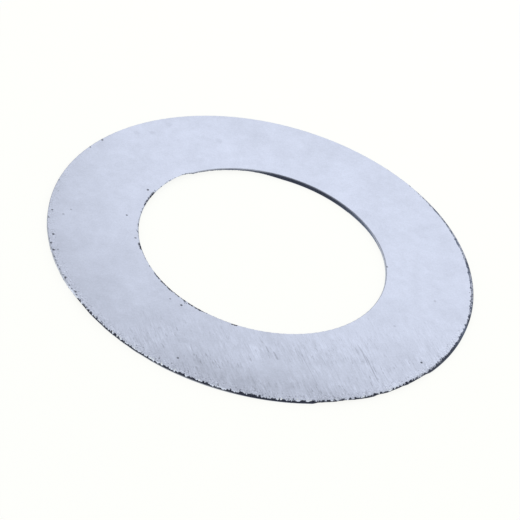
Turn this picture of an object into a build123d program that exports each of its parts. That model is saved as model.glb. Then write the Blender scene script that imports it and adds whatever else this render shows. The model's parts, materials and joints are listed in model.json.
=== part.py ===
from build123d import *
import math
import os
import random

# Shim ring: a flat annular spacer pressed out of thin steel sheet.
#
# It lies on its bottom face.  The bore axis is Z, and the origin is where that
# axis meets the bottom face.  Sizes are in mm.  Azimuths are in degrees round
# Z, from +X towards +Y.  In the sketch of the section, the second
# coordinate is the height.
#
# Bore and rim were sheared in one stroke of a compound die.  So each of their
# walls starts at the top face with a rolled edge, goes on as a burnished land,
# and ends at the bottom face in the break, where the sheet snapped.

# ---- the ring --------------------------------------------------------------
outer_diameter = 43.0
bore_diameter = 25.0
thickness = 0.5

# ---- walls where the cut was clean -----------------------------------------
rim_roll_radius = 0.06
rim_land_bottom = 0.6       # height where the land ends, as a share of the wall
rim_break_lean = 0.02       # how far the break leans in towards the bottom face
bore_roll_radius = 0.1
bore_land_bottom = 0.4
bore_break_lean = 0.02      # how far the break opens the bore, per side

# ---- torn side of the rim: its top edge ------------------------------------
# The punch stood off centre in its die, so one side of the rim was torn.  Each
# station gives its azimuth, how far the top edge stands in, how deep below the
# top face that slope ends, and how much deeper the longest teeth bite.
torn_stations = [
    (222.0, 0.06, 0.10, 0.03),      # the tear starts as a faint roughness
    (232.0, 0.07, 0.12, 0.08),
    (250.0, 0.07, 0.12, 0.08),
    (266.0, 0.07, 0.12, 0.18),
    (277.0, 0.08, 0.12, 0.28),      # deepest teeth
    (293.0, 0.08, 0.12, 0.24),
    (298.0, 0.08, 0.12, 0.16),
    (311.0, 0.08, 0.12, 0.14),
    (317.0, 0.13, 0.16, 0.12),
    (326.0, 0.21, 0.16, 0.10),
    (330.0, 0.17, 0.24, 0.12),
    (342.0, 0.22, 0.22, 0.12),
    (351.0, 0.21, 0.14, 0.12),
    (358.0, 0.26, 0.08, 0.14),      # from here a wide, shallow roll with teeth
    (372.0, 0.32, 0.07, 0.10),
    (388.0, 0.31, 0.07, 0.07),
    (402.0, 0.25, 0.06, 0.05),
    (412.0, 0.08, 0.06, 0.02),      # the tear runs out
]
tooth_pitch = 0.42          # mean distance from one tooth to the next
tooth_jitter = 0.22         # how far a tooth strays from its place, in pitches
tooth_rarity = 2.2          # over 1, long teeth are rarer than short ones
tooth_seed = 3

# ---- flaked foot of the rim ------------------------------------------------
# Where the sheet snapped early, the lower part of the wall flaked away.  Each
# station gives its azimuth, how far the foot stands in, and how far the corners
# of the foot stray in or out there.
flaked_stations = [
    [
        (190.0, 0.01, 0.00), (205.0, 0.09, 0.02), (212.0, 0.13, 0.03),
        (219.0, 0.15, 0.03), (223.0, 0.24, 0.03), (226.0, 0.33, 0.03),
        (229.0, 0.20, 0.03), (236.0, 0.15, 0.03), (250.0, 0.08, 0.02),
        (256.0, 0.01, 0.00),
    ],
    [
        (292.5, 0.01, 0.00), (294.5, 0.19, 0.03), (302.0, 0.22, 0.07),
        (305.0, 0.12, 0.04), (308.0, 0.13, 0.07), (315.0, 0.20, 0.08),
        (321.0, 0.19, 0.08), (326.5, 0.24, 0.05), (328.8, 0.07, 0.01),
        (331.5, 0.01, 0.00),
    ],
]
flake_top = 0.6             # height where a flake ends, as a share of the wall
flake_step = 0.6            # mean distance between the corners of a flaked foot

# ---- torn side of the bore -------------------------------------------------
# Here the break runs far back under the top face, and just past its middle the
# top edge broke out too.  Each station gives its azimuth, how far the bore is
# opened at the top face, and how far at the bottom face; less than nothing at
# the top face means that this slope ends lower down, under the land.
bore_stations = [
    [
        (7.0, -0.10, 0.06), (15.0, -0.20, 0.13), (22.0, -0.26, 0.18),
        (30.0, -0.26, 0.17), (40.0, -0.20, 0.13), (50.0, -0.15, 0.09),
        (57.0, -0.10, 0.06),
    ],
    [
        (91.0, 0.00, 0.05), (96.0, 0.00, 0.16), (101.0, 0.00, 0.29),
        (107.0, 0.00, 0.37), (120.0, 0.00, 0.40), (135.0, 0.00, 0.42),
        (136.5, 0.13, 0.58), (138.5, 0.25, 0.74), (143.0, 0.23, 0.68),
        (150.0, 0.15, 0.54), (157.0, 0.08, 0.41), (164.0, 0.02, 0.30),
        (173.0, 0.00, 0.16), (184.0, 0.00, 0.04),
    ],
]
bore_step = 0.7             # mean distance between the corners of the torn bore
bore_roughness = 0.012      # how far a corner strays in or out

# ---- chips in the clean side of the rim: azimuth, width, depth -------------
chips = [
    (205.6, 0.50, 0.20),
    (216.6, 0.70, 0.12),
]

rim_radius = outer_diameter / 2
bore_radius = bore_diameter / 2
rim_land_z = thickness * rim_land_bottom
bore_land_z = thickness * bore_land_bottom
flake_z = thickness * flake_top
overshoot = thickness * 0.2         # how far a cutting shape passes each face
clearance = thickness               # how far it stands off where it cuts nothing
clear_step = 15.0                   # degrees between its corners there
clear_margin = 1.0                  # degrees from there to the nearest cut
uneven = 0.4                        # share by which a corner's step is off the mean
dice = random.Random(tooth_seed)


def degrees_along(length, radius):
    """The angle that a length along a circle spans."""
    return math.degrees(length / radius)


def polar(radius, azimuth, z):
    """A point given by its radius, azimuth and height."""
    angle = math.radians(azimuth)
    return (radius * math.cos(angle), radius * math.sin(angle), z)


def blank():
    """The ring as a well-centred die would cut it: one sheared section, revolved."""
    with BuildPart() as ring:
        with BuildSketch(Plane.XZ) as section:
            with BuildLine():
                Polyline(
                    (bore_radius + bore_break_lean, 0),
                    (rim_radius - rim_break_lean, 0),
                    (rim_radius, rim_land_z),
                    (rim_radius, thickness),
                    (bore_radius, thickness),
                    (bore_radius, bore_land_z),
                    close=True,
                )
            make_face()
            rim_lip = section.vertices().sort_by_distance((rim_radius, thickness, 0))[0]
            fillet(rim_lip, rim_roll_radius)
            bore_lip = section.vertices().sort_by_distance((bore_radius, thickness, 0))[0]
            fillet(bore_lip, bore_roll_radius)
        revolve(axis=Axis.Z)
    return ring.part


def between(stations, azimuth):
    """The numbers that stations give, eased in a straight line between two of them."""
    for near, far in zip(stations, stations[1:]):
        if azimuth <= far[0]:
            break
    share = (azimuth - near[0]) / (far[0] - near[0])
    share = min(max(share, 0.0), 1.0)
    return [a + (b - a) * share for a, b in zip(near[1:], far[1:])]


def wall_line(z_in, inset, z_out, radius):
    """Radii at both ends of a cutting shape, for a wall that slopes in from the radius.

    The wall stands in by the inset at one height and reaches the radius at another.
    """
    slope = inset / (z_in - z_out)
    low = radius - slope * (-overshoot - z_out)
    high = radius - slope * (thickness + overshoot - z_out)
    return low, high


def torn_corners():
    """Corners of the shape that cuts the torn top edge: azimuth, low radius, high radius."""
    start = torn_stations[0][0]
    end = torn_stations[-1][0]
    teeth = round((end - start) / degrees_along(tooth_pitch, rim_radius))
    half_pitch = (end - start) / teeth / 2
    corners = []
    for step in range(2 * teeth + 1):
        azimuth = start + (step + 2 * dice.uniform(-tooth_jitter, tooth_jitter)) * half_pitch
        size = dice.random() ** tooth_rarity
        inset, drop, tooth = between(torn_stations, azimuth)
        depth = inset + (tooth * size if step % 2 else 0.0)
        corners.append((azimuth, *wall_line(thickness, depth, thickness - drop, rim_radius)))
    return corners


def chip_corners():
    """The same for the chips in the clean side."""
    clear = rim_radius + clearance
    corners = []
    for azimuth, width, depth in chips:
        half = degrees_along(width, rim_radius) / 2 * (depth + clearance) / depth
        corners.append((azimuth - half, clear, clear))
        corners.append((azimuth, rim_radius, rim_radius - depth))
        corners.append((azimuth + half, clear, clear))
    return corners


def flaked_corners():
    """The same for the flaked foot."""
    step = degrees_along(flake_step, rim_radius)
    corners = []
    for stations in flaked_stations:
        azimuth = stations[0][0]
        while azimuth < stations[-1][0]:
            inset, stray = between(stations, azimuth)
            inset += dice.uniform(-stray, stray)
            corners.append((azimuth, *wall_line(0.0, inset, flake_z, rim_radius)))
            azimuth += step * dice.uniform(1 - uneven, 1 + uneven)
    return corners


def bore_corners():
    """The same for the torn side of the bore."""
    step = degrees_along(bore_step, bore_radius)
    corners = []
    for stations in bore_stations:
        azimuth = stations[0][0]
        while azimuth < stations[-1][0]:
            top, foot = between(stations, azimuth)
            stray = dice.uniform(-bore_roughness, bore_roughness)
            slope = (foot - top) / thickness
            low = bore_radius + foot + stray + slope * overshoot
            high = bore_radius + top + stray - slope * overshoot
            corners.append((azimuth, low, high))
            azimuth += step * dice.uniform(1 - uneven, 1 + uneven)
    return corners


def ragged_prism(corners, clear):
    """A prism round Z through the corners, at the clear radius where there are none."""
    corners = sorted((azimuth % 360, low, high) for azimuth, low, high in corners)
    closed = []
    for this, after in zip(corners, corners[1:] + [(corners[0][0] + 360, 0.0, 0.0)]):
        closed.append(this)
        gap = after[0] - this[0]
        if gap > clear_step / 2:
            fill = math.ceil(gap / clear_step)
            for step in range(fill + 1):
                azimuth = this[0] + clear_margin + (gap - 2 * clear_margin) * step / fill
                closed.append((azimuth, clear, clear))
    low = [polar(corner[1], corner[0], -overshoot) for corner in closed]
    high = [polar(corner[2], corner[0], thickness + overshoot) for corner in closed]
    walls = [Wire.make_polygon(low), Wire.make_polygon(high)]
    return Solid.make_loft(walls, ruled=True)


outside = rim_radius + clearance
inside = bore_radius - clearance
shim_ring = blank() & ragged_prism(torn_corners() + chip_corners(), outside)
shim_ring &= ragged_prism(flaked_corners(), outside)
shim_ring -= ragged_prism(bore_corners(), inside)
shim_ring.label = "shim_ring"

os.makedirs("parts", exist_ok=True)
export_step(shim_ring, "parts/shim_ring.step")
print("shim_ring:", len(shim_ring.faces()), "faces,", round(shim_ring.volume, 2), "mm3")
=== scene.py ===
# %% [markdown]
# # A shim ring, pressed out of sheet steel
#
# The object is one flat ring of thin sheet.  It fills a gap of half a millimetre
# between two parts on a shaft.  Nearly all of its looks come from how it was made:
#
# * the flat faces keep the fine straight lines of the rolling mill,
# * the bore and the rim were sheared, so their walls are partly bright and partly
#   dark and rough,
# * on one side the sheet was torn rather than cut, and its edge is ragged there.
#
# The solid model that is loaded first has the true size and the torn outline.
# This lesson wraps a much finer skin round that solid, and then finishes it.

# %% Load the solid model
import bpy
import json
import math
import random
from mathutils import Matrix, Vector


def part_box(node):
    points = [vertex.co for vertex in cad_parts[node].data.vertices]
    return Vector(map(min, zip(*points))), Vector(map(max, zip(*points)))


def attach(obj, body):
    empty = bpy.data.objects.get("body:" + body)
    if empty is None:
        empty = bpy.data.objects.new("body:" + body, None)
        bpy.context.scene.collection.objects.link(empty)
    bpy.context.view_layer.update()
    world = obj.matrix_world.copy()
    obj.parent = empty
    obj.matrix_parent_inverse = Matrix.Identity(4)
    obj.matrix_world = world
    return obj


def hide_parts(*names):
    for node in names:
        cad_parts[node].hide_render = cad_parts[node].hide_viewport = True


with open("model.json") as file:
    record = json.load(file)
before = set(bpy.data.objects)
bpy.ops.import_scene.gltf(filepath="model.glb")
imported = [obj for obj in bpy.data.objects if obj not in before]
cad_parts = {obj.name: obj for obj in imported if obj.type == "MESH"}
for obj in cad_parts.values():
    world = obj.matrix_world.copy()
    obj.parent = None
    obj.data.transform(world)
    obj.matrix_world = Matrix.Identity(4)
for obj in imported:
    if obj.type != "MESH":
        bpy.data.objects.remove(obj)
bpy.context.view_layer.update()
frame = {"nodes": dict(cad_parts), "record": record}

MM = 0.001
solid = frame["nodes"]["shim_ring"]
mounts = {mount["name"]: mount for mount in frame["record"]["mounts"]}
rim_radius = mounts["rim"]["dims"]["r_mm"]
bore_radius = mounts["bore"]["dims"]["r_mm"]
low_corner, high_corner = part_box("shim_ring")
thickness = (high_corner.z - low_corner.z) / MM
print(f"bore {2 * bore_radius} mm, rim {2 * rim_radius} mm, sheet {thickness:.2f} mm")

# %% [markdown]
# ## The section of the ring
#
# A sheared edge is never a plain square corner.  Going through the sheet, the
# die first drags the surface down into a small round (the roll), then shaves a
# bright band (the land), and at last the sheet snaps and leaves a rough slope
# (the break).  Bore and rim were cut in one stroke, so both have their roll at
# the top face and their break at the bottom face.
#
# The section could be drawn as a curve, but a list of points is easier here: each
# point gives its radius and height in millimetres, and more numbers can be tied
# to it later.  The points stand closest where the tears and marks will be.

# %% Sizes of the section
top = thickness
rim_roll = 0.06                         # radius of the rolled edge
rim_land_bottom = 0.6 * thickness       # height where the land ends
rim_lean = 0.02                         # how far the break leans in at the foot
rim_band = 0.9                          # finely divided band of the face beside the rim
bore_roll = 0.1
bore_land_bottom = 0.4 * thickness
bore_lean = 0.02
bore_band = 0.6
print(f"land of {top - rim_roll - rim_land_bottom:.2f} mm on the rim and "
      f"{top - bore_roll - bore_land_bottom:.2f} mm in the bore")

# %% Points of the section
def arc(centre, radius, start, end, count):
    """Points of an arc, given by its angles in degrees from the outward direction."""
    angles = [math.radians(start + (end - start) * i / count) for i in range(count + 1)]
    return [(centre[0] + radius * math.cos(a), centre[1] + radius * math.sin(a))
            for a in angles]


def stretch(start, end, count):
    """Evenly spaced points from a start, which is left out, to an end."""
    return [(start[0] + (end[0] - start[0]) * i / count,
             start[1] + (end[1] - start[1]) * i / count)
            for i in range(1, count + 1)]


rim_foot = (rim_radius - rim_lean, 0.0)
rim_roll_centre = (rim_radius - rim_roll, top - rim_roll)
rim_band_end = (rim_radius - rim_roll - rim_band, top)
bore_band_end = (bore_radius + bore_roll + bore_band, top)
bore_roll_centre = (bore_radius + bore_roll, top - bore_roll)
bore_foot = (bore_radius + bore_lean, 0.0)

section = [rim_foot]
section += stretch(section[-1], (rim_radius, rim_land_bottom), 7)           # break of the rim
section += stretch(section[-1], (rim_radius, top - rim_roll), 3)            # its land
section += arc(rim_roll_centre, rim_roll, 0, 90, 6)[1:]                     # its roll
section += stretch(section[-1], rim_band_end, 11)
section += stretch(section[-1], bore_band_end, 9)
section += stretch(section[-1], (bore_radius + bore_roll, top), 7)
section += arc(bore_roll_centre, bore_roll, 90, 180, 6)[1:]                 # roll of the bore
section += stretch(section[-1], (bore_radius, bore_land_bottom), 3)         # its land
section += stretch(section[-1], bore_foot, 5)                               # its break
section += stretch(section[-1], rim_foot, 6)[:-1]                           # the underside
print(len(section), "points in the section")

# %% [markdown]
# ## What each point of the section knows
#
# Some numbers ride with each point as attributes.  `side` is 1 on the rim's half
# and -1 on the bore's half.  `clean` is the radius that a cleanly cut wall has at
# that height.  `follow` says how far the point goes along when the wall stands
# back: fully on the wall, and less and less towards the middle of the face, so
# that the face is squeezed and not folded.  The finish needs two more: `wall` is
# 1 on the sheared walls, and `inland` is the distance to the wall in mm.
#
# A tree of nodes could work all of them out, but plain functions are shorter,
# and their values can be printed and checked.

# %% Numbers that each point of the section knows
squeeze_width = 1.2
middle_radius = (rim_radius + bore_radius) / 2


def side(radius):
    """1 on the half beside the rim, -1 on the half beside the bore."""
    return 1.0 if radius > middle_radius else -1.0


def clean(radius, height):
    """Radius of the cleanly cut wall on this side, at this height."""
    if side(radius) > 0:
        if height > top - rim_roll:
            rise = height - (top - rim_roll)
            return rim_radius - rim_roll + math.sqrt(rim_roll ** 2 - rise ** 2)
        return rim_radius - rim_lean * max(1 - height / rim_land_bottom, 0.0)
    if height > top - bore_roll:
        rise = height - (top - bore_roll)
        return bore_radius + bore_roll - math.sqrt(bore_roll ** 2 - rise ** 2)
    return bore_radius + bore_lean * max(1 - height / bore_land_bottom, 0.0)


def inland(radius, height):
    """How far a point of a flat face lies from the nearest wall."""
    return abs(clean(radius, height) - radius)


def follow(radius, height):
    """1 on the walls, easing to 0 at the squeeze width away from them."""
    x = 1 - inland(radius, height) / squeeze_width
    x = min(max(x, 0.0), 1.0)
    return x * x * (3 - 2 * x)


def wall(height):
    """1 on a sheared wall, 0 on the flat faces."""
    return 1.0 if 0 < height < top else 0.0


# %% Hand the section to the tree
def point_helper(name, points, numbers):
    """An object of loose points with number attributes, only there for the tree to read."""
    mesh = bpy.data.meshes.new(name)
    mesh.from_pydata([(x * MM, y * MM, z * MM) for x, y, z in points], [], [])
    for key, values in numbers.items():
        mesh.attributes.new(key, "FLOAT", "POINT").data.foreach_set("value", values)
    helper = bpy.data.objects.new(name, mesh)
    bpy.context.scene.collection.objects.link(helper)
    return helper


section_helper = point_helper(
    "ring_section",
    [(radius, 0, height) for radius, height in section],
    {
        "side": [side(r) for r, z in section],
        "clean": [clean(r, z) * MM for r, z in section],
        "follow": [follow(r, z) for r, z in section],
        "wall": [wall(z) for r, z in section],
        "inland": [inland(r, z) for r, z in section],
    },
)
print(sum(wall(z) > 0 for r, z in section), "points of the section lie on the walls")

# %% [markdown]
# ## Small marks along the edges
#
# Grit that was caught in the die pressed small pits into the face beside the
# rim, and knocked nicks out of the bore's upper edge.  They could be cut out one
# by one with Booleans, which is slow and leaves a poor mesh.  So each mark is
# only a point with a size, and the skin sinks wherever it passes close to one.
# Real nicks come in short rows, so a row is given by its two ends and filled
# from a fixed seed.

# %% Single marks and rows of marks
dice = random.Random(5)
nick_inset = 0.1                # from the bore's edge to its nicks, in mm
nick_spacing = 0.16
chip_inset = 0.05               # from the rim's edge to its row of tiny chips
chip_spacing = 0.7
chip_size = 0.08


def mark(azimuth, radius, size):
    """One mark, given by its azimuth in degrees, its radius and its size in mm."""
    angle = math.radians(azimuth)
    return (radius * math.cos(angle), radius * math.sin(angle), size)


def mark_row(start, end, radius, size, spacing):
    """A row of marks from one azimuth to another."""
    count = max(round(math.radians(end - start) * radius / spacing), 1)
    row = []
    for i in range(count + 1):
        azimuth = start + (end - start) * (i + dice.uniform(-0.3, 0.3)) / count
        row.append(mark(azimuth, radius + dice.uniform(-0.04, 0.04),
                        size * dice.uniform(0.6, 1.2)))
    return row


# %% Places of the marks
marks = []
for azimuth, radius, size in [
    (152.3, 21.35, 0.12), (157.5, 21.38, 0.09), (176.0, 21.42, 0.08), (189.3, 21.1, 0.11),
    (192.6, 21.4, 0.1), (199.4, 21.0, 0.15), (203.0, 21.38, 0.12), (205.7, 21.3, 0.16),
    (216.5, 21.35, 0.14), (222.2, 21.3, 0.13), (198.5, 12.9, 0.09), (11.5, 12.62, 0.1),
]:
    marks.append(mark(azimuth, radius, size))
for start, end, size in [
    (163, 167, 0.15), (168, 171, 0.11), (202, 206, 0.16), (228, 235, 0.13),
    (238, 239, 0.11), (241, 243, 0.11), (246, 253, 0.13), (266, 268, 0.13),
]:
    marks += mark_row(start, end, bore_radius + nick_inset, size, nick_spacing)
marks += mark_row(208, 236, rim_radius - chip_inset, chip_size, chip_spacing)
marks_helper = point_helper(
    "edge_marks",
    [(x, y, top) for x, y, size in marks],
    {"size": [size * MM for x, y, size in marks]},
)
print(len(marks), "marks along the edges")

# %% [markdown]
# ## A small kit for node trees
#
# Geometry and shader trees are both built from nodes and links.  A few helpers
# keep the later cells short: one feeds a socket with a link or a plain value,
# one adds a node, and the others add the sums that come up again and again.
# The same trees could be built by hand in the node editor, but then nothing in
# them could be worked out from the solid's own sizes.

# %% Add nodes and sums
def feed(tree, socket, value):
    """Link a socket to another one, or set its value."""
    if isinstance(value, bpy.types.NodeSocket):
        tree.links.new(value, socket)
    else:
        socket.default_value = value


def node(tree, kind, inputs=None, **settings):
    """Add a node, choose its settings and feed its inputs."""
    made = tree.nodes.new(kind)
    for key, value in settings.items():
        setattr(made, key, value)
    for key, value in (inputs or {}).items():
        feed(tree, made.inputs[key], value)
    return made


def calc(tree, operation, first, second=0.0, clamp=False):
    """The result of a Math node."""
    made = node(tree, "ShaderNodeMath", {0: first, 1: second}, operation=operation)
    made.use_clamp = clamp
    return made.outputs[0]


def ramp(tree, value, start, end):
    """0 before the start, 1 past the end and smooth between them."""
    return node(tree, "ShaderNodeMapRange",
                {"Value": value, "From Min": start, "From Max": end},
                interpolation_type="SMOOTHSTEP").outputs["Result"]


def vector_calc(tree, operation, first, second):
    """The result of a Vector Math node with two vectors, or with a vector and a scale."""
    made = node(tree, "ShaderNodeVectorMath", {0: first}, operation=operation)
    feed(tree, made.inputs["Scale" if operation == "SCALE" else 1], second)
    return made.outputs["Value" if operation == "DISTANCE" else "Vector"]


# %% Patterns, and values that change round the ring
def noise(tree, place, scale, detail=2.0, roughness=0.5):
    """A noise pattern from -1 to 1, for a place and a scale in repeats per unit of it."""
    made = node(tree, "ShaderNodeTexNoise", {
        "Vector": place,
        "Scale": scale,
        "Detail": detail,
        "Roughness": roughness,
    }).outputs[0]
    return calc(tree, "MULTIPLY", calc(tree, "SUBTRACT", made, 0.5), 2.0)


def round_the_ring(tree, turn, stations):
    """A value that changes round the ring, from (azimuth in degrees, value) stations."""
    made = node(tree, "ShaderNodeFloatCurve", {"Value": turn})
    curve = made.mapping.curves[0]
    first_azimuth, first_value = stations[0]
    last_azimuth, last_value = stations[-1]
    share = first_azimuth / (first_azimuth + 360 - last_azimuth)
    first = first_value + (last_value - first_value) * share
    curve.points[0].location = (0.0, first)
    curve.points[1].location = (1.0, first)
    for azimuth, value in stations:
        curve.points.new(azimuth / 360, value)
    for point in curve.points:
        point.handle_type = "VECTOR"
    made.mapping.update()
    return made.outputs["Value"]


# %% [markdown]
# ## The skin of the ring, as a Geometry Nodes tree
#
# A main piece whose shape follows a rule is a good case for Geometry Nodes.  The
# rule here is: take the section to every azimuth, and at each height move the
# walls back until they meet the solid.  The tree starts from a flat grid with
# one column for each step round the ring and one row for each point of the
# section.
#
# The alternative would be to subdivide the solid's own mesh, but its faces are
# long thin triangles, and those never bend or shade well.

# %% Inputs of the tree
skin = bpy.data.node_groups.new("wrap_ring_skin", "GeometryNodeTree")
skin.interface.new_socket("Geometry", in_out="OUTPUT", socket_type="NodeSocketGeometry")
skin_settings = {
    "Solid": ("NodeSocketObject", solid),
    "Section": ("NodeSocketObject", section_helper),
    "Marks": ("NodeSocketObject", marks_helper),
    "Steps round": ("NodeSocketInt", 1440),
    "Section points": ("NodeSocketInt", len(section)),
    "Sheet thickness": ("NodeSocketFloat", thickness * MM),
    "Outer start": ("NodeSocketFloat", (rim_radius + 1) * MM),
    "Facet error": ("NodeSocketFloat", 0.014 * MM),
    "Fine tooth size": ("NodeSocketFloat", 0.16 * MM),
    "Fine tooth share": ("NodeSocketFloat", 0.35),
    "Merge distance": ("NodeSocketFloat", 0.0001 * MM),
    "Sharp angle": ("NodeSocketFloat", math.radians(50)),
}
socket_ids = {}
for name, (kind, value) in skin_settings.items():
    made = skin.interface.new_socket(name, in_out="INPUT", socket_type=kind)
    socket_ids[name] = made.identifier
made = skin.interface.new_socket("Finish", in_out="INPUT", socket_type="NodeSocketMaterial")
socket_ids["Finish"] = made.identifier
given = skin.nodes.new("NodeGroupInput").outputs
print(len(socket_ids), "inputs")

# %% Read other geometry inside the tree
def attribute(name):
    """Read a number attribute by its name."""
    return node(skin, "GeometryNodeInputNamedAttribute", {"Name": name},
                data_type="FLOAT").outputs["Attribute"]


def shape_of(socket):
    """The geometry of another object."""
    return node(skin, "GeometryNodeObjectInfo", {"Object": socket}).outputs["Geometry"]


def taken(geometry, value, index, data_type="FLOAT"):
    """The value that one point of another geometry has."""
    return node(skin, "GeometryNodeSampleIndex",
                {"Geometry": geometry, "Value": value, "Index": index},
                data_type=data_type).outputs["Value"]


# %% A grid with a column for each step and a row for each point of the section
columns = given["Steps round"]
rows = given["Section points"]
grid = node(skin, "GeometryNodeMeshGrid", {
    "Size X": columns,
    "Size Y": rows,
    "Vertices X": calc(skin, "ADD", columns, 1),
    "Vertices Y": calc(skin, "ADD", rows, 1),
}).outputs["Mesh"]
place = node(skin, "GeometryNodeInputPosition").outputs["Position"]
on_grid = node(skin, "ShaderNodeSeparateXYZ", {"Vector": place}).outputs
column = calc(skin, "ADD", on_grid["X"], calc(skin, "DIVIDE", columns, 2))
row = calc(skin, "ADD", on_grid["Y"], calc(skin, "DIVIDE", rows, 2))
row = calc(skin, "FLOORED_MODULO", calc(skin, "ROUND", row), rows)
turn = calc(skin, "FRACT", calc(skin, "DIVIDE", calc(skin, "ROUND", column), columns))
azimuth = calc(skin, "MULTIPLY", turn, math.tau)
outward = node(skin, "ShaderNodeCombineXYZ", {
    "X": calc(skin, "COSINE", azimuth),
    "Y": calc(skin, "SINE", azimuth),
}).outputs["Vector"]

# %% What the section says about each point of the grid
section_shape = shape_of(given["Section"])
section_place = taken(section_shape, place, row, "FLOAT_VECTOR")
section_place = node(skin, "ShaderNodeSeparateXYZ", {"Vector": section_place}).outputs
radius = section_place["X"]
height = section_place["Z"]
side_here = taken(section_shape, attribute("side"), row)
clean_here = taken(section_shape, attribute("clean"), row)
follow_here = taken(section_shape, attribute("follow"), row)
wall_here = taken(section_shape, attribute("wall"), row)
inland_here = taken(section_shape, attribute("inland"), row)
print(len(skin.nodes), "nodes so far")

# %% [markdown]
# A ray tells how far the solid's wall stands back.  On the rim it comes from
# outside and looks at the axis, and in the bore it starts on the axis and looks
# outwards.  It flies at the point's own height, kept a hair inside the sheet so
# that it can't slip over a face.  The solid's round walls are made of flat
# facets, so a step back that is smaller than the facet error is no tear.
#
# Snapping each point to the nearest place of the solid would be simpler, but it
# bunches the points up in the corners of the teeth.

# %% Move the walls back to the solid
hair_share = 0.004              # of the sheet's thickness
on_rim = calc(skin, "MAXIMUM", side_here, 0.0)
hair = calc(skin, "MULTIPLY", given["Sheet thickness"], hair_share)
ray_top = calc(skin, "SUBTRACT", given["Sheet thickness"], hair)
ray_height = calc(skin, "MINIMUM", calc(skin, "MAXIMUM", height, hair), ray_top)
lift = node(skin, "ShaderNodeCombineXYZ", {"Z": ray_height}).outputs["Vector"]
ray_radius = calc(skin, "MULTIPLY", given["Outer start"], on_rim)
ray_start = vector_calc(skin, "ADD", vector_calc(skin, "SCALE", outward, ray_radius), lift)
ray_way = vector_calc(skin, "SCALE", outward, calc(skin, "MULTIPLY", side_here, -1.0))
hit = node(skin, "GeometryNodeRaycast", {
    "Target Geometry": shape_of(given["Solid"]),
    "Source Position": ray_start,
    "Ray Direction": ray_way,
    "Ray Length": given["Outer start"],
}).outputs["Hit Distance"]
solid_radius = calc(skin, "SUBTRACT", ray_radius, calc(skin, "MULTIPLY", hit, side_here))
step_back = calc(skin, "MULTIPLY", calc(skin, "SUBTRACT", clean_here, solid_radius), side_here)
step_back = calc(skin, "SUBTRACT", step_back, given["Facet error"])
step_back = calc(skin, "MAXIMUM", step_back, 0.0)
step_back = calc(skin, "MULTIPLY", step_back, follow_here)

# %% [markdown]
# The solid's teeth are straight cuts.  Noise makes them longer and shorter by
# the fine tooth share, and as it multiplies the step back, a clean wall stays
# clean.  A bite can't reach outside the blank, so the skin keeps the true size.

# %% Add the finer teeth, and place the points
tooth_place = vector_calc(skin, "ADD", vector_calc(skin, "SCALE", outward, clean_here), lift)
tooth_scale = calc(skin, "DIVIDE", 1.0, given["Fine tooth size"])
fine_teeth = calc(skin, "MULTIPLY", noise(skin, tooth_place, tooth_scale),
                  given["Fine tooth share"])
step_back = calc(skin, "MULTIPLY", step_back, calc(skin, "ADD", fine_teeth, 1.0))
radius = calc(skin, "SUBTRACT", radius, calc(skin, "MULTIPLY", step_back, side_here))
raised = node(skin, "ShaderNodeCombineXYZ", {"Z": height}).outputs["Vector"]
ring_place = vector_calc(skin, "ADD", vector_calc(skin, "SCALE", outward, radius), raised)

# %% Sink the marks
sink_share = -0.5               # how far a mark goes down, as a share of its size
marks_shape = shape_of(given["Marks"])
nearest = node(skin, "GeometryNodeSampleNearest",
               {"Geometry": marks_shape, "Sample Position": ring_place}).outputs["Index"]
mark_place = taken(marks_shape, place, nearest, "FLOAT_VECTOR")
mark_size = taken(marks_shape, attribute("size"), nearest)
mark_distance = vector_calc(skin, "DISTANCE", ring_place, mark_place)
mark_depth = calc(skin, "SUBTRACT", 1.0, calc(skin, "DIVIDE", mark_distance, mark_size),
                  clamp=True)
sink = calc(skin, "MULTIPLY", calc(skin, "MULTIPLY", mark_depth, mark_size), sink_share)
sunk = node(skin, "ShaderNodeCombineXYZ", {"Z": sink}).outputs["Vector"]
ring_place = vector_calc(skin, "ADD", ring_place, sunk)
print(len(skin.nodes), "nodes so far")

# %% [markdown]
# ## What the finish will need to know
#
# Some things about the walls change round the ring, and the finish can't guess
# them from a position alone, so they are stored on the points as attributes.
#
# * `land` is the share of the wall, from the top face down, that was burnished
#   bright.  Where the cut was clean it covers the whole wall.
# * `foot` is the share at the bottom that is worn grey again.
# * The break's darkness tells how dark it is between them, partly as its own rough metal and
#   partly as painted shade.
# * `rag` tells how far the upper boundary of the break jumps up and down.
# * `reach` is how far the break spreads over the face in spikes, in mm; along the rim's lip from
#   335 to 64 degrees it paints a thin band of shade.
#
# They could be painted on the walls by hand.  A list of azimuths and values is
# easier to correct, and it still fits when the mesh gets finer.

# %% How far the bright land goes down
# painted shade: from 0 to 62 degrees the land is kept short, so the dark break paints a thin band
# of shade along the rim's lip
rim_land = round_the_ring(skin, turn, [
    (0, 0.1), (46, 0.1), (54, 0.4), (62, 1.0), (214, 1.0), (220, 0.8), (224, 0.2),
    (235, 0.22), (246, 0.3), (250, 0.4), (270, 0.42), (275, 0.3), (286, 0.28), (291, 0.3),
    (295, 0.22), (307, 0.22), (310, 0.14), (315, 0.22), (319, 0.12), (325, 0.1), (328, 0.3),
    (332, 0.22), (338, 0.07), (350, 0.03), (355, 0.1),
])
# painted shade: from 35 to 104 degrees the land is kept short, so the dark break covers the bore's
# wall there
bore_land = round_the_ring(skin, turn, [
    (0, 0.9), (15, 0.85), (25, 0.5), (35, 0.2), (45, 0.1), (95, 0.05), (104, 0.2),
    (135, 0.35), (138, 0.9), (159, 0.9), (162, 0.3), (165, -0.05), (170, 0.15), (176, 0.8),
    (190, 0.35), (200, 0.3), (205, 0.1), (211, 0.7), (222, 0.6), (228, 0.05), (234, 0.0),
    (238, 0.3), (247, 0.25), (252, 0.05), (256, 0.7), (275, 0.9), (350, 0.9),
])

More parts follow.
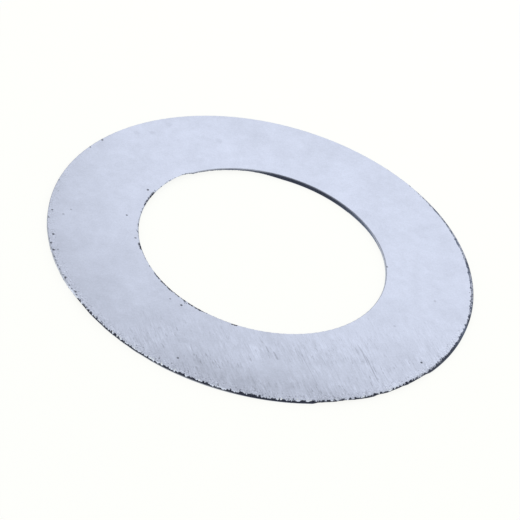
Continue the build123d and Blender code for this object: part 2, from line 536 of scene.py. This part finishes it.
# %% The worn foot, and how dark the break is
rim_worn = round_the_ring(skin, turn, [
    (0, 0.0), (222, 0.0), (230, 0.2), (262, 0.24), (270, 0.24), (276, 0.1), (291, 0.1),
    (294, 0.0), (358, 0.0),
])
# partly painted shade: how dark the rim's break is, its own rough metal and shade together
rim_break_dark_and_shade = round_the_ring(skin, turn, [
    (0, 0.4), (5, 0.9), (10, 0.15), (15, 0.35), (20, 0.6), (27, 0.05), (35, 0.4),
    (40, 0.2), (46, 0.5), (55, 0.1), (214, 0.3), (223, 0.9), (236, 1.0), (322, 1.0),
    (330, 0.85), (341, 0.75), (346, 0.45), (350, 0.1), (354, 0.85), (358, 0.35),
])
# partly painted shade: from 45 to 110 degrees this paints the bore's wall nearly black
bore_break_dark_and_shade = round_the_ring(skin, turn, [
    (0, 0.0), (32, 0.0), (45, 0.3), (55, 0.65), (62, 0.85), (70, 0.9), (95, 0.92),
    (103, 0.75), (112, 0.5), (125, 0.6), (135, 0.55), (150, 0.3), (158, 0.4), (163, 0.9),
    (172, 0.7), (180, 0.4), (222, 0.4), (230, 0.9), (254, 0.8), (262, 0.3), (350, 0.0),
])

# %% How ragged the break is, and how far it spreads over the face
rim_rag = round_the_ring(skin, turn, [
    (0, 0.12), (45, 0.1), (60, 0.0), (214, 0.3), (224, 0.8), (270, 1.0), (292, 0.8),
    (326, 0.8), (331, 0.35), (346, 0.3), (355, 0.12),
])
bore_rag = round_the_ring(skin, turn, [
    (0, 0.0), (90, 0.05), (104, 0.2), (150, 0.3), (160, 0.6), (175, 0.6), (190, 0.5),
    (200, 0.6), (225, 0.8), (255, 0.8), (270, 0.3), (350, 0.0),
])
# painted shade: on the rim from 335 to 64 degrees the spread break is a thin dark band along the
# lip
rim_reach = round_the_ring(skin, turn, [
    (0, 0.22), (35, 0.22), (48, 0.26), (56, 0.12), (64, 0.0), (330, 0.0), (335, 0.19),
    (340, 0.07), (346, 0.18), (350, 0.14), (356, 0.24),
])
bore_reach = round_the_ring(skin, turn, [
    (0, 0.0), (136, 0.0), (139, 0.28), (158, 0.28), (163, 0.18), (171, 0.18), (176, 0.05),
    (186, 0.08), (190, 0.3), (195, 0.08), (201, 0.06), (205, 0.4), (209, 0.08), (222, 0.1),
    (229, 0.5), (234, 0.3), (240, 0.24), (246, 0.4), (253, 0.3), (257, 0.05), (264, 0.05),
    (267, 0.15), (270, 0.0), (350, 0.0),
])

# %% Store them on the points
def either(rim_value, bore_value):
    """The rim's value on the rim's half and the bore's value on the bore's half."""
    return node(skin, "ShaderNodeMix", {"Factor": on_rim, 2: bore_value, 3: rim_value},
                data_type="FLOAT").outputs[0]


def store(geometry, name, value):
    """Keep a number on every point, under a name that the finish can read."""
    return node(skin, "GeometryNodeStoreNamedAttribute",
                {"Geometry": geometry, "Name": name, "Value": value},
                data_type="FLOAT", domain="POINT").outputs["Geometry"]


deep_tear = 0.4 * MM            # a step back that counts as a whole tear
body = grid
known = {
    "wall": wall_here,
    "tear": calc(skin, "DIVIDE", step_back, deep_tear),
    "mark": mark_depth,
    "land": either(rim_land, bore_land),
    "soot": either(rim_break_dark_and_shade, bore_break_dark_and_shade),
    "rag": either(rim_rag, bore_rag),
    "foot": calc(skin, "MULTIPLY", rim_worn, on_rim),
    "reach": either(rim_reach, bore_reach),
    "inland": inland_here,
}
for name, value in known.items():
    body = store(body, name, value)
print(len(known), "numbers ride with each point")

# %% [markdown]
# ## Closing the skin
#
# The grid's first and last columns lie on top of each other, and so do its first
# and last rows.  Merging their points turns the grid into one closed skin.  The
# corner of the foot is sharp and the rolled lip is smooth, so only edges that
# bend by more than the sharp angle are shaded flat.

# %% Close the skin
body = node(skin, "GeometryNodeSetPosition",
            {"Geometry": body, "Position": ring_place}).outputs["Geometry"]
body = node(skin, "GeometryNodeMergeByDistance",
            {"Geometry": body, "Distance": given["Merge distance"]}).outputs["Geometry"]
edge_angle = node(skin, "GeometryNodeInputMeshEdgeAngle").outputs["Unsigned Angle"]
is_sharp = node(skin, "FunctionNodeCompare", {0: edge_angle, 1: given["Sharp angle"]},
                data_type="FLOAT", operation="GREATER_THAN").outputs["Result"]
body = node(skin, "GeometryNodeSetShadeSmooth",
            {"Geometry": body, "Selection": is_sharp, "Shade Smooth": False},
            domain="EDGE").outputs["Geometry"]
body = node(skin, "GeometryNodeRealizeInstances", {"Geometry": body}).outputs["Geometry"]
body = node(skin, "GeometryNodeSetMaterial",
            {"Geometry": body, "Material": given["Finish"]}).outputs["Geometry"]
node(skin, "NodeGroupOutput", {"Geometry": body})
print(len(skin.nodes), "nodes in the tree")

# %% [markdown]
# ## The finish: rolled steel with sheared edges
#
# The whole ring is one bare metal, so it gets one material.  A metal's look is
# its colour, its roughness and the tiny relief that scatters a highlight.  Each
# of these is built up in layers, from the broadest to the finest, and each layer
# is weak: rolled sheet is quiet, and only all of them together look real.
#
# Positions come from Object coordinates, in metres, because they don't slide
# when the piece is moved or exported.  Noise is used for every layer, and only
# its stretch differs: round spots for clouds, long thin ones for the grain that
# the rolls left.

# %% A metal with coordinates along and across the rolling direction
steel = bpy.data.materials.new("rolled_steel")
steel.use_nodes = True
tree = steel.node_tree
metal = tree.nodes["Principled BSDF"]
metal.inputs["Metallic"].default_value = 1.0

here = node(tree, "ShaderNodeTexCoord").outputs["Object"]
on_plane = vector_calc(tree, "MULTIPLY", here, (1, 1, 0))
rolling_angle = math.radians(-60)
turned = node(tree, "ShaderNodeMapping", {"Vector": here, "Rotation": (0, 0, -rolling_angle)},
              vector_type="POINT").outputs["Vector"]


def streak_place(length, width):
    """Coordinates in which a streak of this length and width is as long as it is wide."""
    return vector_calc(tree, "MULTIPLY", turned, (1 / (length * MM), 1 / (width * MM), 1 / MM))


def streaks(length, width, scale=1.0, detail=1.0, roughness=0.5):
    """Noise drawn out along the rolling direction, with its length and width in mm."""
    return noise(tree, streak_place(length, width), scale, detail, roughness)


def spots(size, detail=2.0, roughness=0.5):
    """Round noise, with the size of its spots in mm."""
    return noise(tree, here, 1 / (size * MM), detail, roughness)


def along(way):
    """How far a point lies along a direction from the axis."""
    return node(tree, "ShaderNodeVectorMath", {0: here, 1: way},
                operation="DOT_PRODUCT").outputs["Value"]


def layer(total, pattern, amount):
    """Add one layer's pattern to the running total."""
    return calc(tree, "ADD", total, calc(tree, "MULTIPLY", pattern, amount))


def shader_attribute(name):
    """A number that the skin's tree stored on the points."""
    return node(tree, "ShaderNodeAttribute", attribute_name=name).outputs["Fac"]


axes = node(tree, "ShaderNodeSeparateXYZ", {"Vector": here}).outputs
print("rolling direction", round(math.degrees(rolling_angle)), "degrees from +X")

# %% [markdown]
# ### The faces
#
# The sheet's own cloudiness comes first, in three sizes.  The rolling streaks are
# stronger where the ring was rubbed against something along them: that part lies
# on the torn side, in patches, and fades out towards the rest.  One small spot in
# the middle of it was spared and stayed smooth.
#
# Long and fine streaks lighten and darken the metal alike.  Dashes are short dark
# scratches and gleams are short bright ones, so each keeps only one end of its
# noise.

# %% The rubbed part of the face
cloud = spots(4.0, 3.0, 0.55)
mottle = spots(1.1, 3.0, 0.65)
speckle = spots(0.16, 1.0)
broad_cloud = spots(3.5)

rub_way = (0.35, -0.94, 0)              # direction from the axis to the rubbed side
rub_start = 7 * MM                      # distance along it where the rub starts
rub_full = 17 * MM
rub_waver = 5 * MM                      # how far its edge wanders
spared_spot = (3.6 * MM, -17.5 * MM, top * MM)
spared_core = 1.1 * MM
spared_edge = 2.4 * MM

rub = ramp(tree, layer(along(rub_way), broad_cloud, rub_waver), rub_start, rub_full)
patches = ramp(tree, spots(2.2), -0.35, 0.35)
rub = calc(tree, "MULTIPLY", rub, layer(0.35, patches, 0.8))
from_spared = vector_calc(tree, "DISTANCE", here, spared_spot)
unspared = ramp(tree, from_spared, spared_core, spared_edge)
rub = calc(tree, "MULTIPLY", rub, layer(0.2, unspared, 0.8))
rub_strength = layer(0.05, rub, 0.95)
print("the rub fades in from", round(rub_start / MM), "to", round(rub_full / MM), "mm")

# %% Clouds and streaks of the face
long_streak = calc(tree, "MULTIPLY", streaks(2.2, 0.35, detail=2.0), rub_strength)
fine_streak = calc(tree, "MULTIPLY", streaks(1.0, 0.13, detail=2.0, roughness=0.6), rub_strength)
dash = calc(tree, "MULTIPLY", ramp(tree, streaks(0.8, 0.17), 0.2, 0.55), rub)
gleam = calc(tree, "MULTIPLY", ramp(tree, streaks(0.7, 0.14, 1.7), 0.25, 0.6), rub)
face_layers = [
    (cloud, 0.1), (mottle, 0.14), (speckle, 0.085), (long_streak, 0.17),
    (fine_streak, 0.3), (dash, -0.3), (gleam, 0.2),
]
tone = 0.0
for pattern, amount in face_layers:
    tone = layer(tone, pattern, amount)
print(len(face_layers), "layers on the face")

# %% [markdown]
# The face also gets a little darker towards the rim on the torn side, where it
# bends down by a hair before it tears.  The bend is far too slight to model, so
# painted shade, a darker band of the metal's colour, stands for it.

# %% Painted shade along the torn side
painted_shade_way = (0.14, -0.99, 0)
painted_shade_start = 16.5 * MM
painted_shade_full = 20.5 * MM
painted_shade_waver = 1.5 * MM
painted_shade_depth = -0.11
painted_shade_reach = layer(along(painted_shade_way), broad_cloud, painted_shade_waver)
# painted shade: the face is painted darker towards the rim on the torn side
tone = layer(tone, ramp(tree, painted_shade_reach, painted_shade_start, painted_shade_full), painted_shade_depth)

# %% [markdown]
# ### Scratches and pits
#
# A few scratches and pits are strong enough to be seen one by one, so they are
# listed.  A scratch is a line between two points, and its mask is the
# distance to that line.  A pit is a point.  Painting them on an image would tie
# them to one size of it, while a distance stays sharp however close one looks.

# %% Masks for one scratch and one pit
scratch_ends = (0.5, 0.3)       # a scratch thins out between these shares of its length
pit_core = 0.4                  # share of a pit's radius that is fully dark


def scratch_mask(start_point, end_point, width):
    """1 on a straight scratch that thins out towards both ends."""
    first = Vector((*start_point, 0)) * MM
    last = Vector((*end_point, 0)) * MM
    way = (last - first).normalized()
    across = Vector((-way.y, way.x, 0))
    length = (last - first).length
    middle = (first + last) / 2
    from_middle = calc(tree, "ABSOLUTE", calc(tree, "SUBTRACT", along(way), middle.dot(way)))
    off_line = calc(tree, "ABSOLUTE", calc(tree, "SUBTRACT", along(across), middle.dot(across)))
    near_line = calc(tree, "SUBTRACT", 1.0, calc(tree, "DIVIDE", off_line, width * MM), clamp=True)
    near_middle = ramp(tree, from_middle, length * scratch_ends[0], length * scratch_ends[1])
    return calc(tree, "MULTIPLY", near_line, near_middle)


def pit_mask(azimuth, radius, size):
    """1 in the middle of a small round pit."""
    x, y, size = mark(azimuth, radius, size)
    off = vector_calc(tree, "DISTANCE", on_plane, (x * MM, y * MM, 0))
    return ramp(tree, off, size * MM, size * pit_core * MM)


# %% Scratches (both ends, width, strength) and pits (azimuth, radius, size, strength)
scratches = [
    ((11.3, -10.6), (12.6, -13.1), 0.10, 0.5), ((11.9, -11.4), (13.9, -15.2), 0.09, 0.6),
    ((12.6, -12.0), (13.6, -14.2), 0.07, 0.4), ((10.9, -10.9), (11.5, -12.0), 0.09, 0.4),
    ((3.5, -14.7), (4.2, -15.9), 0.15, 0.6), ((2.7, -14.3), (3.2, -15.2), 0.11, 0.5),
    ((5.6, -13.2), (8.6, -18.2), 0.06, 0.3), ((8.2, -12.6), (10.6, -16.8), 0.06, 0.25),
]
pits = [
    (184.2, 13.84, 0.13, 0.8), (243.6, 13.4, 0.16, 0.9), (238.3, 13.6, 0.14, 0.45),
    (256.2, 19.97, 0.16, 0.8), (329.1, 20.3, 0.15, 0.9), (190.4, 19.98, 0.16, 0.35),
    (187.7, 19.3, 0.16, 0.3), (163.0, 13.3, 0.16, 0.9), (357.6, 17.7, 0.2, 0.2),
    (336.3, 15.56, 0.2, 0.2), (116.0, 17.1, 0.5, 0.09), (129.8, 20.45, 0.5, 0.1),
    (141.2, 20.4, 0.45, 0.08), (136.7, 19.7, 0.4, 0.08), (205.8, 20.9, 0.12, 0.5),
]
mark_darkness = 1.6
scratch_darkness = 0.6
deep = calc(tree, "MULTIPLY", shader_attribute("mark"), mark_darkness, clamp=True)
for start_point, end_point, width, strength in scratches:
    mask = scratch_mask(start_point, end_point, width)
    deep = layer(deep, mask, strength * scratch_darkness)
for pit_azimuth, pit_radius, size, strength in pits:
    deep = layer(deep, pit_mask(pit_azimuth, pit_radius, size), strength)
deep = calc(tree, "MINIMUM", deep, 1.0)
print(len(scratches), "scratches and", len(pits), "pits")

# %% [markdown]
# ### The sheared walls
#
# From the top down a wall is first land, then break and at last foot.  The sheet
# snaps where it is weakest, so the upper boundary of the break is ragged, and on
# the torn side it spreads over the face in spikes along the rolling direction.
# The break is made of torn grains, and its near-black colour is partly that rough metal and partly
# painted shade.
# In the bore its boundary lies on the rolled lip, and is soft.
#
# Three materials on three strips of faces would give straight boundaries.  Here
# one material compares each point's height with the stored shares, and noise on
# that height makes the boundary as ragged as it needs to be.

# %% What the walls know
wall_amount = shader_attribute("wall")
tear_amount = shader_attribute("tear")
land_share = shader_attribute("land")
foot_share = shader_attribute("foot")
break_dark_and_shade_amount = shader_attribute("soot")
rag_amount = shader_attribute("rag")
reach_here = shader_attribute("reach")
inland_mm = shader_attribute("inland")
level = calc(tree, "DIVIDE", axes["Z"], top * MM)
flat_here = vector_calc(tree, "MULTIPLY", here, (1, 1, 0.3))
from_axis = node(tree, "ShaderNodeVectorMath", {0: on_plane},
                 operation="LENGTH").outputs["Value"]
blend_half = 0.5
in_bore = ramp(tree, from_axis, (middle_radius + blend_half) * MM,
               (middle_radius - blend_half) * MM)

# %% Where the wall is broken
crumb_size = 0.24
rim_softness = 0.04             # half the width of the boundary, as a share of the wall
bore_softness = 0.19

crumb = noise(tree, flat_here, 1 / (crumb_size * MM), 2.0, 0.6)
spike = ramp(tree, streaks(0.7, 0.17), 0.0, 0.5)
break_top = calc(tree, "SUBTRACT", 1.0, land_share)
break_top = layer(break_top, calc(tree, "MULTIPLY", crumb, rag_amount), 1.0)
break_top = layer(break_top, calc(tree, "MULTIPLY", spike, rag_amount), 0.1)
softness = layer(rim_softness, in_bore, bore_softness - rim_softness)
below = ramp(tree, calc(tree, "SUBTRACT", break_top, level),
             calc(tree, "MULTIPLY", softness, -1.0), softness)
bitten = calc(tree, "MULTIPLY", ramp(tree, tear_amount, 0.45, 0.65),
              ramp(tree, reach_here, 0.07, 0.15))
broken = calc(tree, "MULTIPLY", calc(tree, "MAXIMUM", below, bitten), wall_amount)

# %% Spikes of the break on the face, and the worn foot
spike_end = calc(tree, "MULTIPLY", layer(spike, crumb, 0.8), reach_here)
spread = ramp(tree, calc(tree, "SUBTRACT", spike_end, inland_mm), 0.0, 0.05)
upper_half = calc(tree, "GREATER_THAN", level, 0.5)
spread = calc(tree, "MULTIPLY", spread, upper_half)
broken = calc(tree, "MAXIMUM", broken, spread)

foot_top = layer(foot_share, crumb, 0.1)
worn = ramp(tree, calc(tree, "SUBTRACT", foot_top, level), -0.03, 0.03)
worn = calc(tree, "MULTIPLY", worn, ramp(tree, foot_share, 0.02, 0.06))
grit = spots(0.11, roughness=0.6)

# %% [markdown]
# Beside the torn rim the face is littered with crumbs of torn metal.  A painted glint
# stands for those that stick up and catch the light, and painted shade for the holes
# that others left.  They are too many to be placed one by one, so both come from the
# two ends of one fine noise, which only counts near a ragged part of the rim.

# %% Crumbs beside the torn rim
littered_band = (1.1, 0.1)      # crumbs fade in between these distances inland, in mm
chaff_size = 0.17
near_rim = calc(tree, "MULTIPLY", ramp(tree, inland_mm, littered_band[0], littered_band[1]),
                ramp(tree, rag_amount, 0.15, 0.3))
on_rim_half = calc(tree, "SUBTRACT", 1.0, in_bore)
near_rim = calc(tree, "MULTIPLY", near_rim, on_rim_half)
chaff = noise(tree, flat_here, 1 / (chaff_size * MM), 1.0)
# painted shade where crumbs left holes, and painted glints where they stick up
painted_shade_crumb = calc(tree, "MULTIPLY", ramp(tree, chaff, 0.2, 0.45), near_rim)
painted_glint_crumb = calc(tree, "MULTIPLY", ramp(tree, chaff, -0.15, -0.4), near_rim)
tone = layer(tone, painted_glint_crumb, 0.3)
tone = layer(tone, painted_shade_crumb, -0.5)

# %% [markdown]
# ### Colours
#
# The tone that was summed up so far makes the sheet's one colour lighter or
# darker.  What is left of the land is duller than the face on a clean wall, and
# on the rim's torn walls it gets a painted highlight.  The break is mixed from two
# darks, partly its own rough colour and partly painted shade: how dark it is decides
# between slate grey and nearly black, and grit gives both their grain.

# %% Colours
def colour_mix(factor, first, second):
    """Mix two colours."""
    made = node(tree, "ShaderNodeMix", {"Factor": factor}, data_type="RGBA")
    feed(tree, made.inputs[6], first)
    feed(tree, made.inputs[7], second)
    return made.outputs[2]


def scaled(colour, factor):
    """A colour made lighter or darker by a factor."""
    return vector_calc(tree, "SCALE", colour, factor)


sheet_colour = (0.629, 0.678, 0.818)
slate_colour = (0.245, 0.29, 0.40)
# nearly black: partly the break's own rough metal, partly painted shade
break_black_and_shade_colour = (0.050, 0.057, 0.090)
foot_colour = (0.36, 0.38, 0.43, 1)
pit_colour = (0.06, 0.065, 0.09, 1)

clean_wall_tone = -0.27
painted_highlight_wall_tone = 0.23
# painted highlight: the rim's torn walls are painted brighter than clean ones
torn_wall_highlight_mask = calc(tree, "MULTIPLY", ramp(tree, rag_amount, 0.4, 0.7), on_rim_half)
wall_dulling_and_highlight_tone = layer(clean_wall_tone, torn_wall_highlight_mask, painted_highlight_wall_tone - clean_wall_tone)
tone = layer(tone, wall_amount, wall_dulling_and_highlight_tone)
face = scaled(sheet_colour, calc(tree, "ADD", tone, 1.0))
grit_tone = layer(1.0, grit, 0.9)
dark = colour_mix(break_dark_and_shade_amount, scaled(slate_colour, grit_tone), scaled(break_black_and_shade_colour, grit_tone))
dark = colour_mix(worn, dark, foot_colour)
colour = colour_mix(broken, face, dark)
colour = colour_mix(deep, colour, pit_colour)
tree.links.new(colour, metal.inputs["Base Color"])

# %% [markdown]
# ### Roughness and relief
#
# The face is satin, and a little rougher where it is streaked.  The break is
# rough all over.  The relief is added as bump: it is far too fine for the mesh.

# %% Roughness and bump
satin = 0.32
roughness = layer(satin, mottle, 0.04)
roughness = layer(roughness, fine_streak, 0.08)
roughness = layer(roughness, broken, 0.4)
tree.links.new(roughness, metal.inputs["Roughness"])

relief = calc(tree, "MULTIPLY", fine_streak, 0.0012)
relief = layer(relief, mottle, 0.001)
relief = layer(relief, deep, -0.02)
relief = layer(relief, calc(tree, "MULTIPLY", grit, broken), 0.02)
bump = node(tree, "ShaderNodeBump", {"Height": relief, "Distance": MM, "Strength": 1.0})
tree.links.new(bump.outputs["Normal"], metal.inputs["Normal"])
print(len(tree.nodes), "nodes in the finish")

# %% [markdown]
# ## The finished ring
#
# The tree needs an object to run on.  Its result is copied into a plain mesh, which
# keeps the numbers on its points, and then the host and the helpers have done
# their work.  Leaving the modifier live would be shorter, but then the mesh would
# change with every later edit.  The finished ring stands in for the solid: it has
# the same body, the same origin and the same outer size.

# %% Run the tree and keep its result as a plain mesh
host = bpy.data.objects.new("skin_host", bpy.data.meshes.new("skin_start"))
bpy.context.scene.collection.objects.link(host)
modifier = host.modifiers.new("wrap", "NODES")
modifier.node_group = skin
for name, (kind, value) in skin_settings.items():
    modifier[socket_ids[name]] = value
modifier[socket_ids["Finish"]] = steel
bpy.context.view_layer.update()
evaluated = host.evaluated_get(bpy.context.evaluated_depsgraph_get())
ring_mesh = bpy.data.meshes.new_from_object(evaluated)
ring_mesh.name = "shim_ring_finished"
host.modifiers.remove(modifier)
ring = bpy.data.objects.new("shim_ring_finished", ring_mesh)
bpy.context.scene.collection.objects.link(ring)
for helper in (host, section_helper, marks_helper):
    bpy.data.objects.remove(helper)

# %% Let it stand for the solid
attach(ring, "root")
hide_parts("shim_ring")
print(len(ring.data.vertices), "points and", len(ring.data.polygons), "faces in the skin")

# %% [markdown]
# ## Floor
#
# The ring lies on a plain pale floor, which shows a soft shadow and nothing else.
# A floor that is only lit turns grey towards its far end.  So most of what the
# camera sees of it is a glow of its own, and only the rest is lit and keeps the
# shadow.  The light that it throws back on the ring comes from plain matt paint.

# %% Floor
floor_half = 1.5                # metres
floor_gap = 0.01 * MM           # keeps the floor just below the ring
floor_mesh = bpy.data.meshes.new("floor")
floor_mesh.from_pydata(
    [(-floor_half, -floor_half, 0), (floor_half, -floor_half, 0),
     (floor_half, floor_half, 0), (-floor_half, floor_half, 0)],
    [], [(0, 1, 2, 3)])
floor = bpy.data.objects.new("floor", floor_mesh)
floor.location.z = -floor_gap
bpy.context.scene.collection.objects.link(floor)


# %% Paint of the floor
def seen(paint):
    """1 for the rays that show a surface: from the camera, a gloss or through glass."""
    path = paint.nodes.new("ShaderNodeLightPath").outputs
    shown = calc(paint, "ADD", path["Is Camera Ray"], path["Is Glossy Ray"])
    return calc(paint, "ADD", shown, path["Is Transmission Ray"], clamp=True)


floor_paint = bpy.data.materials.new("pale_floor")
floor_paint.use_nodes = True
paint_tree = floor_paint.node_tree
paint_tree.nodes.clear()
plain_colour = (0.8, 0.8, 0.79, 1)
shaded_colour = (0.16, 0.16, 0.16, 1)
glow_colour = (0.994, 1, 0.968, 1)
plain = node(paint_tree, "ShaderNodeBsdfDiffuse", {"Color": plain_colour})
shaded = node(paint_tree, "ShaderNodeBsdfDiffuse", {"Color": shaded_colour})
glow = node(paint_tree, "ShaderNodeEmission", {"Color": glow_colour, "Strength": 0.891})
lit = node(paint_tree, "ShaderNodeAddShader", {0: shaded.outputs[0], 1: glow.outputs[0]})
choice = node(paint_tree, "ShaderNodeMixShader",
              {0: seen(paint_tree), 1: plain.outputs[0], 2: lit.outputs[0]})
node(paint_tree, "ShaderNodeOutputMaterial", {"Surface": choice.outputs[0]})
floor.data.materials.append(floor_paint)
print("floor of", 2 * floor_half, "m")

# %% [markdown]
# ## Light
#
# Bare metal shows what it reflects.  An even white surrounding gives the face its
# pale ground, and one wide soft lamp behind the ring is mirrored in it, so the
# far side is a shade lighter than the near one.  A small hard lamp would leave a
# bright spot instead.

# %% Lights
world_strength = 0.65
key_power = 0.00495             # watts: the lamp is small and close
key_width = 0.084
key_height = 0.037
key_place = Vector((0.0115, 0.0623, 0.0441))
key_target = Vector((0.004, 0.013, 0))
world = bpy.data.worlds.new("studio")
bpy.context.scene.world = world
world.use_nodes = True
world_tree = world.node_tree
world_tree.nodes["Background"].inputs["Color"].default_value = (1, 1, 1, 1)
world_tree.nodes["Background"].inputs["Strength"].default_value = world_strength

key_data = bpy.data.lights.new("key", "AREA")
key_data.shape = "RECTANGLE"
key_data.size = key_width
key_data.size_y = key_height
key_data.energy = key_power
key = bpy.data.objects.new("key", key_data)
key.location = key_place
key.rotation_euler = (key_target - key_place).to_track_quat("-Z", "Y").to_euler()
key.visible_camera = False
bpy.context.scene.collection.objects.link(key)
print("key lamp", round((key_target - key_place).length / MM), "mm away")

# %% [markdown]
# ## Camera
#
# A long lens keeps the ring's outline nearly a true ellipse, where a short one
# would swell its near side.  The camera is rolled, so the ring lies at a slant.
# It first points at the origin, and then pans and tilts by a hair to bring the
# ring to its place.

# %% Camera
camera_data = bpy.data.cameras.new("camera")
camera_data.sensor_width = 36
camera_data.lens = 149.04
camera_data.clip_start = 0.01
camera = bpy.data.objects.new("camera", camera_data)
bpy.context.scene.collection.objects.link(camera)
bpy.context.scene.camera = camera
elevation = math.radians(37.913)
distance = 9.902 * rim_radius * MM
roll = math.radians(15.926)
pan = math.radians(0.0622)
tilt = math.radians(-0.2291)
camera.matrix_world = (
    Matrix.Translation((0, -distance * math.cos(elevation), distance * math.sin(elevation)))
    @ Matrix.Rotation(math.pi / 2 - elevation, 4, "X")
    @ Matrix.Rotation(roll, 4, "Z")
    @ Matrix.Rotation(pan, 4, "Y")
    @ Matrix.Rotation(tilt, 4, "X")
)
bpy.context.scene.view_settings.view_transform = "Standard"
print("camera", round(distance / MM), "mm from the origin")
